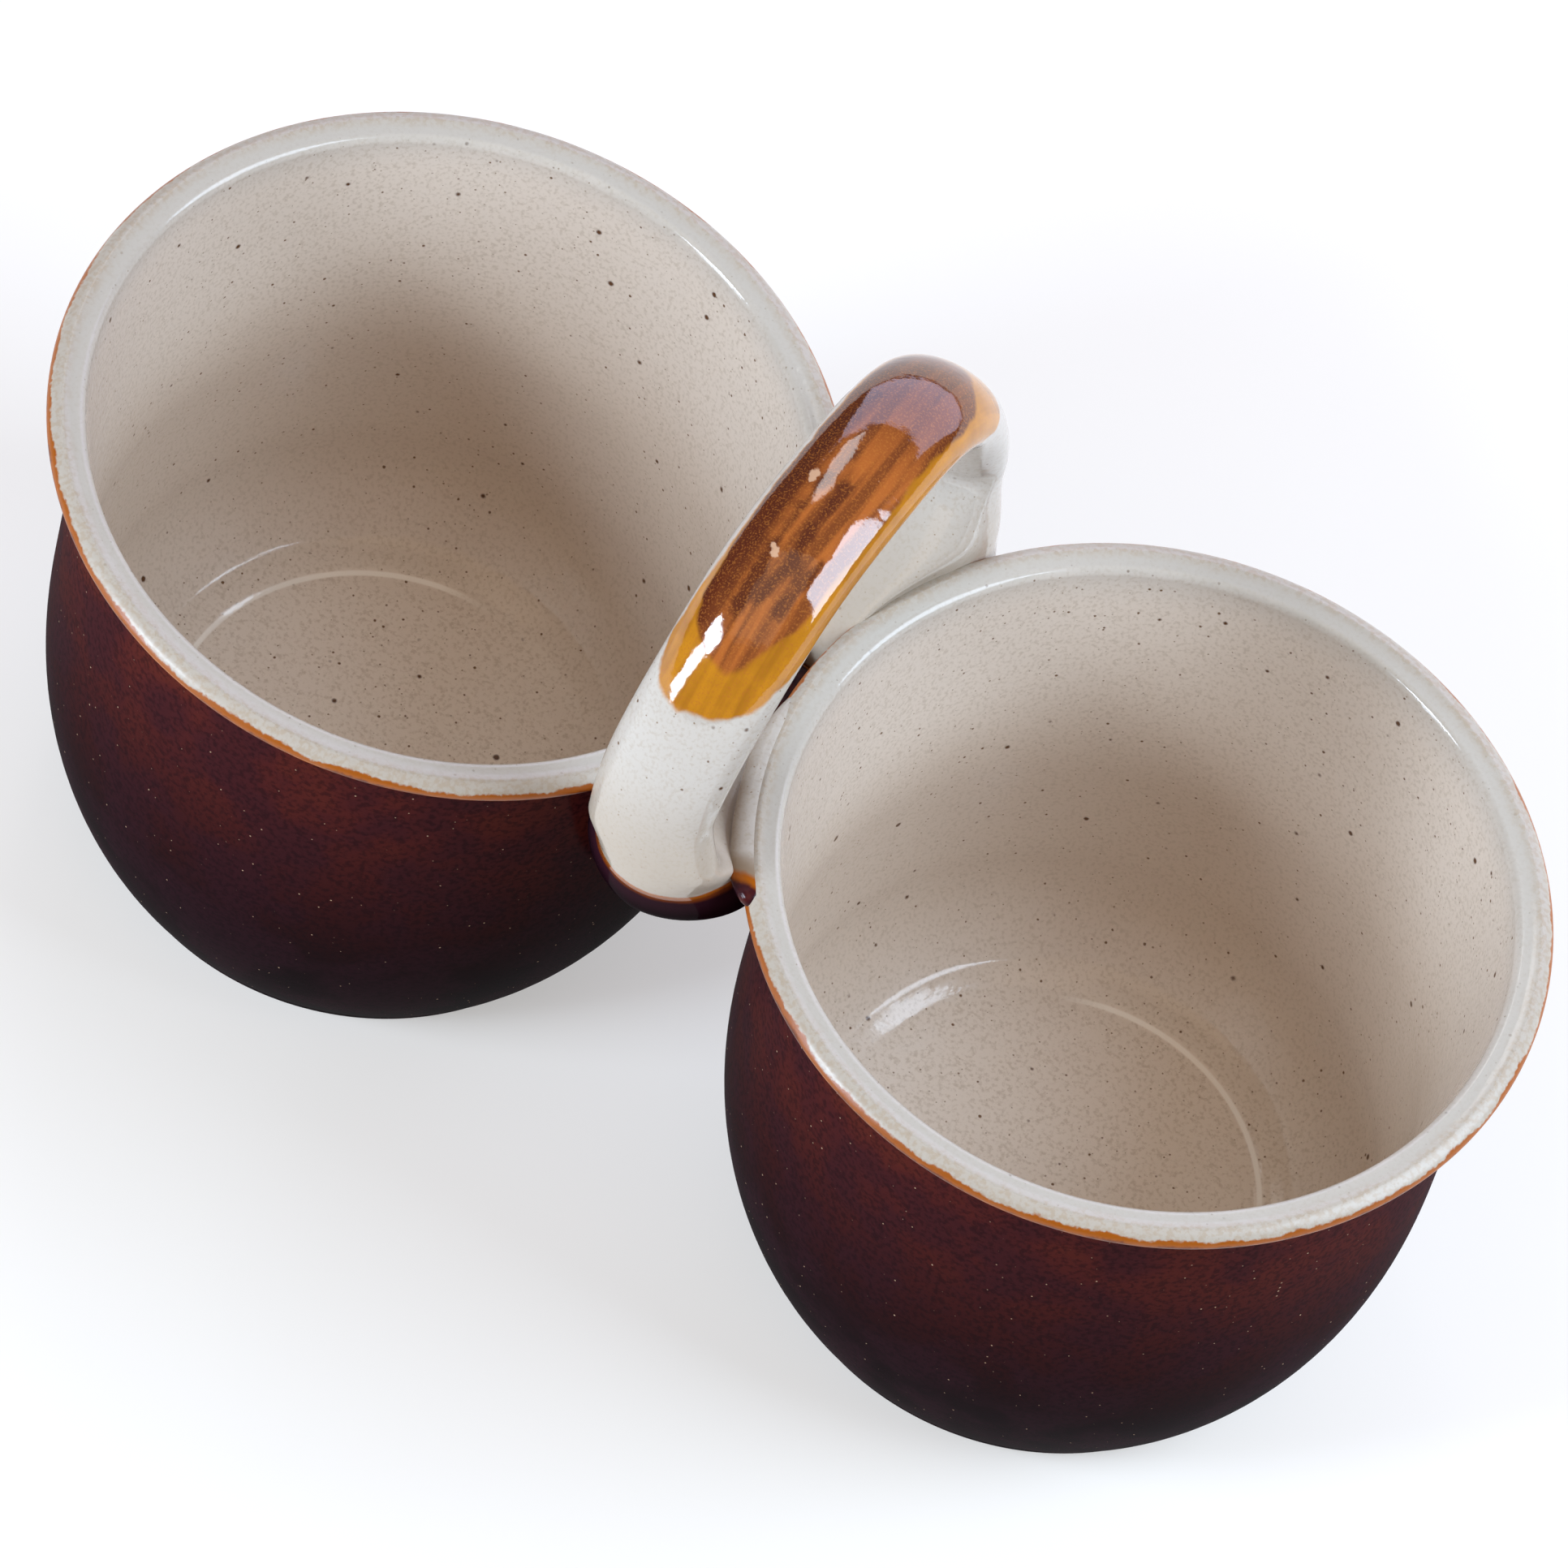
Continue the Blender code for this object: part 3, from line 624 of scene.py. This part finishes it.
colour = add(tree, "Mix", {0: share, 6: colour, 7: dark}, **colourMix)[2]
ragged = add(tree, "TexNoise", {"Vector": position, "Scale": 1 / (0.9 * mm)})[0]
edge = add(tree, "Math", {0: ragged, 1: 1.2, 2: mark["spot"]}, operation="MULTIPLY_ADD")[0]
share = add(tree, "MapRange", {0: edge, 1: 0.75, 2: 0.45}, **softStep)[0]
colour = add(tree, "Mix", {0: share, 6: colour, 7: linear(brush["bare"])}, **colourMix)[2]
lift = add(tree, "Attribute", {}, attribute_name="lift")["Fac"]
share = add(tree, "MapRange", {0: lift, 1: 26.0, 2: 4.0, 4: 0.7}, **softStep)[0]  # darker and sandier down the leg: painted shade
colour = add(tree, "Mix", {0: share, 6: colour, 7: linear(cream["sand"])}, **colourMix)[2]
colour = dipOver(tree, position, colour)
rough = add(tree, "TexNoise", {"Vector": position, "Scale": 1 / (1.2 * mm)})[0]
rough = add(tree, "MapRange", {0: rough, 1: 0.3, 2: 0.7, 3: 0.04, 4: 0.08})[0]
peel = add(tree, "TexNoise", {"Vector": position, "Scale": 1 / (3.2 * mm)})[0]
height = add(tree, "Math", {0: grain, 1: 0.08, 2: peel}, operation="MULTIPLY_ADD")[0]
finishMaterial(tree, colour, rough, height, 0.06, Specular_IOR_Level=1.0)

# dark iron glaze of the handle's dipped feet: as deep and as faintly glossy as on the pots
footGlaze, tree, position = startMaterial("dippedFootGlaze")
colour = dipOver(tree, position, linear(iron["amber"]))
peel = add(tree, "TexNoise", {"Vector": position, "Scale": 1 / (2.6 * mm)})[0]
finishMaterial(tree, colour, 0.1, peel, 0.03, **darkGloss)

# dark glaze pooled over the slip that joins the pieces: smooth, amber where it thins and cream past its edge,
# with a dull beige band of painted shade between them
pooledGlaze, tree, position = startMaterial("pooledLutingGlaze")
ripple = add(tree, "TexNoise", {"Vector": position, "Scale": 1 / (3 * mm), "Detail": 3.0})[0]
share = add(tree, "MapRange", {0: ripple, 1: 0.35, 2: 0.65}, **softStep)[0]
colour = add(tree, "Mix", {0: share, 6: linear(iron["plum"]), 7: linear(iron["maroon"])}, **colourMix)[2]
pale = add(tree, "Attribute", {}, attribute_name="pale")["Fac"]
pale = add(tree, "Math", {0: ripple, 1: 1.0, 2: pale}, operation="MULTIPLY_ADD")[0]
share = add(tree, "MapRange", {0: pale, 1: -0.3, 2: 0.4}, **softStep)[0]
colour = add(tree, "Mix", {0: share, 6: colour, 7: linear(iron["amber"])}, **colourMix)[2]
# a dull beige band past the amber is painted shade, which darkens the lip roll beside the leg
share = add(tree, "MapRange", {0: pale, 1: 0.6, 2: 1.2}, **softStep)[0]
colour = add(tree, "Mix", {0: share, 6: colour, 7: linear(cream["faint"])}, **colourMix)[2]
share = add(tree, "MapRange", {0: pale, 1: 1.2, 2: 4.0}, **softStep)[0]
colour = add(tree, "Mix", {0: share, 6: colour, 7: creamBody(tree, position, 0.0)}, **colourMix)[2]
finishMaterial(tree, colour, 0.12, ripple, 0.04, Specular_IOR_Level=0.15)
print("glazes of the handle made")


def makeHandle(rings, runs):
    made = tubeThrough("bridgeHandle", rings)
    count = len(rings[0])
    along = np.repeat(runs, count)
    around = np.tile((270 - np.arange(count) * 360 / count) % 360 - 180, len(rings))
    across = np.array([1.0, brush["perDegree"]])
    drawn = np.column_stack([along, around]) * across
    heights = np.array(rings)[:, :, 2].ravel()
    ends = np.array(rings)[:, :, 1].ravel()
    marks = {}
    for name in ("ochre", "dark"):
        marks[name] = outlineDistance(drawn, tuple(tuple(p * across) for p in np.array(brush[name])))
    marks["along"], marks["around"] = along, around
    streaks = [lineDistance(drawn, np.array(line) * across) for line in brush["streaks"]]
    marks["streak"] = np.min(streaks, axis=0)
    spots = [np.hypot(*(drawn - np.array(spot[:2]) * across).T) - spot[2] for spot in brush["spots"]]
    marks["spot"] = np.min(spots, axis=0)
    marks["lift"] = heights - np.interp(ends, *brush["dipLine"])  # height over the dip line
    for name, values in marks.items():
        markPoints(made, name, values)
    for glaze in (handleGlaze, footGlaze):
        made.data.materials.append(glaze)
    for face in made.data.polygons:
        face.material_index = int(marks["lift"][list(face.vertices)].max() < brush["footFrom"])
    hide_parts("bridge_handle")


rings, runs = handleRings()
makeHandle(rings, runs)
print("handle made")

# fillets of slip along the creases where the feet meet the pots
luting = {
    "top": 95.2, "bottom": 80.5, "width": 2.4, "tip": 0.3, "taper": 3.5, "sink": 0.7, "press": 0.05,
    "hollow": 0.25, "steps": 8, "footSteps": 3, "amberHeight": 95.5, "amberFade": 2.0,
}


def potDistance(point, side):
    middle = potCentre(side, point[2])
    far = math.hypot(point[0] - middle[0], point[1] - middle[1])
    return far - outsideRadius(point[2] - rimRise(side, *point))


def glazeSlip(made, pale):
    # pale: how far each point lies past the dark glaze's edge, amber at nought and cream beyond
    markPoints(made, "pale", pale)
    made.data.materials.append(pooledGlaze)


def makeLuting(name, node, side, end):
    count = len(rings[0])
    half = len(rings) // 2
    quarter = count // 4
    creases = []
    for ring in rings[:half] if end < 0 else rings[:half:-1]:
        for i in range(2 * quarter - 2):  # from the foot's front round its flank, to where it enters the pot
            here, after = ring[(quarter - side * i) % count], ring[(quarter - side * (i + 1)) % count]
            if not luting["bottom"] < here[2] - rimRise(side, *here) < luting["top"]:
                break
            a, b = potDistance(here, side), potDistance(after, side)
            if a >= 0 > b:
                corner = np.array([blend(p, q, a / (a - b)) for p, q in zip(here, after)])
                onFoot = np.array(ring[(quarter - side * max(i - luting["footSteps"], 0)) % count])
                creases.append((corner, onFoot))
                break
    lengths = np.concatenate([[0], np.cumsum([math.dist(a[0], b[0]) for a, b in zip(creases, creases[1:])])])
    shares = [i / luting["steps"] for i in range(luting["steps"] + 1)]
    sections = []
    for (corner, onFoot), length in zip(creases, lengths):
        fromEnd = min(length, lengths[-1] - length)
        width = luting["tip"] + luting["width"] * smooth(fromEnd / luting["taper"])
        toward = onFoot - corner
        first = corner + toward * min(width / np.linalg.norm(toward), 1.0)
        centre = potCentre(side, corner[2])
        radius = outsideRadius(corner[2] - rimRise(side, *corner)) - luting["press"]
        angle = math.atan2(corner[1] - centre[1], corner[0] - centre[0]) - width / radius * side * end
        across, ahead = radius * math.cos(angle), radius * math.sin(angle)
        last = np.array([centre[0] + across, centre[1] + ahead, corner[2]])
        middle = (first + last) / 2
        pull = corner + (middle - corner) * luting["hollow"]
        deep = corner - (middle - corner) / max(np.linalg.norm(middle - corner), 0.01) * luting["sink"]
        bowed = [first * (1 - t) ** 2 + 2 * pull * t * (1 - t) + last * t * t for t in shares]
        sections.append(bowed + [deep])
    made = tubeThrough(name, sections)
    heights = [spot[2] for section in sections for spot in section]
    glazeSlip(made, [(height - luting["amberHeight"]) / luting["amberFade"] for height in heights])
    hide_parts(node)


makeLuting("frontLeftLuting", "front_left_luting", -1, -1)
makeLuting("frontRightLuting", "front_right_luting", 1, -1)
makeLuting("rearLeftLuting", "rear_left_luting", -1, 1)
makeLuting("rearRightLuting", "rear_right_luting", 1, 1)

# a plug of slip between the lips where the two pots nearly touch
plug = {
    "from": -10.0, "to": 5.5, "top": 91.3, "bottom": 85.0, "bite": 0.3, "sag": 0.9,
    "stations": 24, "levels": 6, "across": (0.2, 0.4, 0.6, 0.8),
    "pale": (-1.5, 0.5), "paleFrom": 2.0, "paleFade": 4.0,
}


def plugRings():
    made = []
    for share in np.linspace(0, 1, plug["stations"] + 1):
        y = blend(plug["from"], plug["to"], share)
        fullness = math.sqrt(max(1 - abs(2 * share - 1) ** 4, 0.02))
        middle = blend(plug["bottom"], plug["top"], 0.5)
        low, high = (blend(middle, plug[key], fullness) for key in ("bottom", "top"))
        walls = {}
        for side in (-1, 1):
            walls[side] = []
            for z in np.linspace(low, high, plug["levels"]):
                centre = potCentre(side, z)
                reach = outsideRadius(z - rimRise(side, 0.0, y, z)) - plug["bite"]
                reach = math.sqrt(reach ** 2 - (y - centre[1]) ** 2)
                walls[side].append((centre[0] - side * reach, y, z))
        left, right = walls[-1][-1], walls[1][-1]
        top = []
        for t in plug["across"]:
            top.append((blend(left[0], right[0], t), y, left[2] - plug["sag"] * math.sin(math.pi * t)))
        made.append(walls[-1] + top + walls[1][::-1])
    return made


sections = plugRings()
shares = [smooth((spot[1] - plug["paleFrom"]) / plug["paleFade"]) for ring in sections for spot in ring]
glazeSlip(tubeThrough("middleLuting", sections), [blend(*plug["pale"], share) for share in shares])

# a roll of slip along the right lip's outer edge, thick at the front foot and thinner beside the leg
roll = {
    "from": -39.5, "to": -4.5, "steps": 30, "radii": (2.9, 2.0), "thinning": 0.7, "section": (-80, 145, 14),
    "flatness": 0.8, "tallest": 1.3, "inset": 0.9, "height": 95.1, "root": (2.5, 1.0),
    "pale": (0.7, 3.2), "darkEnd": 9.0, "darkDepth": 4.5,
}


def makeRoll(name, side):
    sections, pale = [], []
    start, finish = (math.asin(roll[key] / pot["rim"]) for key in ("from", "to"))
    first, last, count = roll["section"]
    for i in range(roll["steps"] + 1):
        share = i / roll["steps"]
        angle = blend(start, finish, share)
        rounding = math.sqrt(min(0.05 + share * 8, 4 * (1.01 - share), 1.0))  # both ends run out round
        size = blend(*roll["radii"], share ** roll["thinning"]) * rounding
        base, tall = pot["rim"] - roll["inset"], min(roll["flatness"] * size, roll["tallest"])
        turns = [math.radians(blend(first, last, j / count)) for j in range(count + 1)]
        spots = [(base + size * math.cos(a), roll["height"] + tall * math.sin(a)) for a in turns]
        spots.append((pot["rim"] - roll["root"][0], roll["height"] - roll["root"][1]))
        centre = potCentre(side, roll["height"])
        sections.append([(centre[0] - side * r * math.cos(angle), centre[1] + r * math.sin(angle), z)
                         for r, z in spots])
        along = share * (finish - start) * pot["rim"]
        dark = roll["darkDepth"] * max(1 - along / roll["darkEnd"], 0.0)
        # the roll's pale values keep it mostly in the beige band: painted shade where the leg shades it
        pale += [blend(*roll["pale"], j / count) - dark for j in range(count + 2)]
    glazeSlip(tubeThrough(name, sections), pale)


makeRoll("lipRoll", 1)
print("lutings made")

# seamless white paper, in metres: matt, very slightly uneven, white to the eye and in reflections,
# and less so near the object, where its shadow shows
sheet = {
    "size": 60, "height": -0.05 * mm, "tones": ("#fffcf6", "#fcf8f2"), "shade": (0.15, 0.6), "least": 0.45,
}
paper, tree, position = startMaterial("whitePaper")
fibre = add(tree, "TexNoise", {"Vector": position, "Scale": 1 / (90 * mm)})[0]
tones = [linear(tone) for tone in sheet["tones"]]
colour = add(tree, "Mix", {0: fibre, 6: tones[0], 7: tones[1]}, **colourMix)[2]
lit = add(tree, "BsdfDiffuse", {"Color": colour})[0]
white = add(tree, "Emission", {"Color": linear("#ffffff"), "Strength": 1.0})[0]
rays = add(tree, "LightPath", {})
seen = add(tree, "Math", {0: rays["Is Camera Ray"], 1: rays["Is Glossy Ray"]}, operation="ADD")[0]
seen = add(tree, "Math", {0: seen, 1: rays["Is Transmission Ray"]}, operation="ADD", use_clamp=True)[0]
far = add(tree, "VectorMath", {0: position}, operation="LENGTH")[1]
near, beyond = sheet["shade"]
far = add(tree, "MapRange", {0: far, 1: near, 2: beyond, 3: sheet["least"], 4: 1.0}, **softStep)[0]
share = add(tree, "Math", {0: seen, 1: far}, operation="MULTIPLY")[0]
add(tree, "OutputMaterial", {"Surface": add(tree, "MixShader", {0: share, 1: lit, 2: white})[0]})
bpy.ops.object.select_all(action="DESELECT")
bpy.ops.mesh.primitive_plane_add(size=sheet["size"], location=(0, 0, sheet["height"]))
floor = bpy.context.object
floor.name = "floor"
floor.data.materials.append(paper)

studio = {
    "target": (0, 0, 0.09), "ambient": ("#ffd19e", 0.13),
    # name: azimuth from the front and elevation in degrees, distance, width and height in metres,
    # radiance, colour
    "lamps": {
        "rightSoftbox": (105, 38, 0.9, 0.56, 0.70, 8.2, "#dbecff"),
        "leftStrip": (-37, 12.5, 0.9, 0.20, 0.37, 15.0, "#d9ebff"),
        "leftLamp": (-37, 31, 0.9, 0.29, 0.19, 29.0, "#e0eeff"),
        "backCard": (186, 24, 0.9, 1.30, 0.62, 2.2, "#d2d3f2"),
        "frontFill": (10, 68, 1.3, 1.2, 1.2, 0.55, "#ffdfc0"),
        "smallCard": (-142, 51, 0.9, 0.13, 0.26, 3.5, "#ffffff"),
    },
}
world = bpy.data.worlds.new("studio")
bpy.context.scene.world = world
world.use_nodes = True
world.node_tree.nodes["Background"].inputs[0].default_value = linear(studio["ambient"][0])
world.node_tree.nodes["Background"].inputs[1].default_value = studio["ambient"][1]
for name, (azimuth, elevation, distance, width, height, radiance, tint) in studio["lamps"].items():
    a, e = math.radians(azimuth), math.radians(elevation)
    aim = Vector((math.sin(a) * math.cos(e), -math.cos(a) * math.cos(e), math.sin(e)))
    bpy.ops.object.light_add(type="AREA", location=Vector(studio["target"]) + aim * distance)
    lamp = bpy.context.object
    lamp.name = name
    lamp.rotation_euler = aim.to_track_quat("Z", "Y").to_euler()
    lamp.data.shape = "RECTANGLE"
    lamp.data.size, lamp.data.size_y = width, height
    lamp.data.energy = radiance * math.pi * width * height
    lamp.data.color = linear(tint)[:3]
print("studio made")

# the camera stands where the photograph was taken from: metres, degrees, and millimetres for its lens
view = {"place": (0.312347, -0.905673, 1.515486), "turn": (32.349019, -8.924142, 32.598550),
        "lens": 268.9055, "sensor": 36, "reach": 20}
bpy.ops.object.camera_add(location=view["place"], rotation=[math.radians(v) for v in view["turn"]])
camera = bpy.context.object
camera.data.lens = view["lens"]
camera.data.sensor_width = view["sensor"]
camera.data.clip_end = view["reach"]
bpy.context.scene.camera = camera
bpy.context.scene.view_settings.view_transform = "Standard"
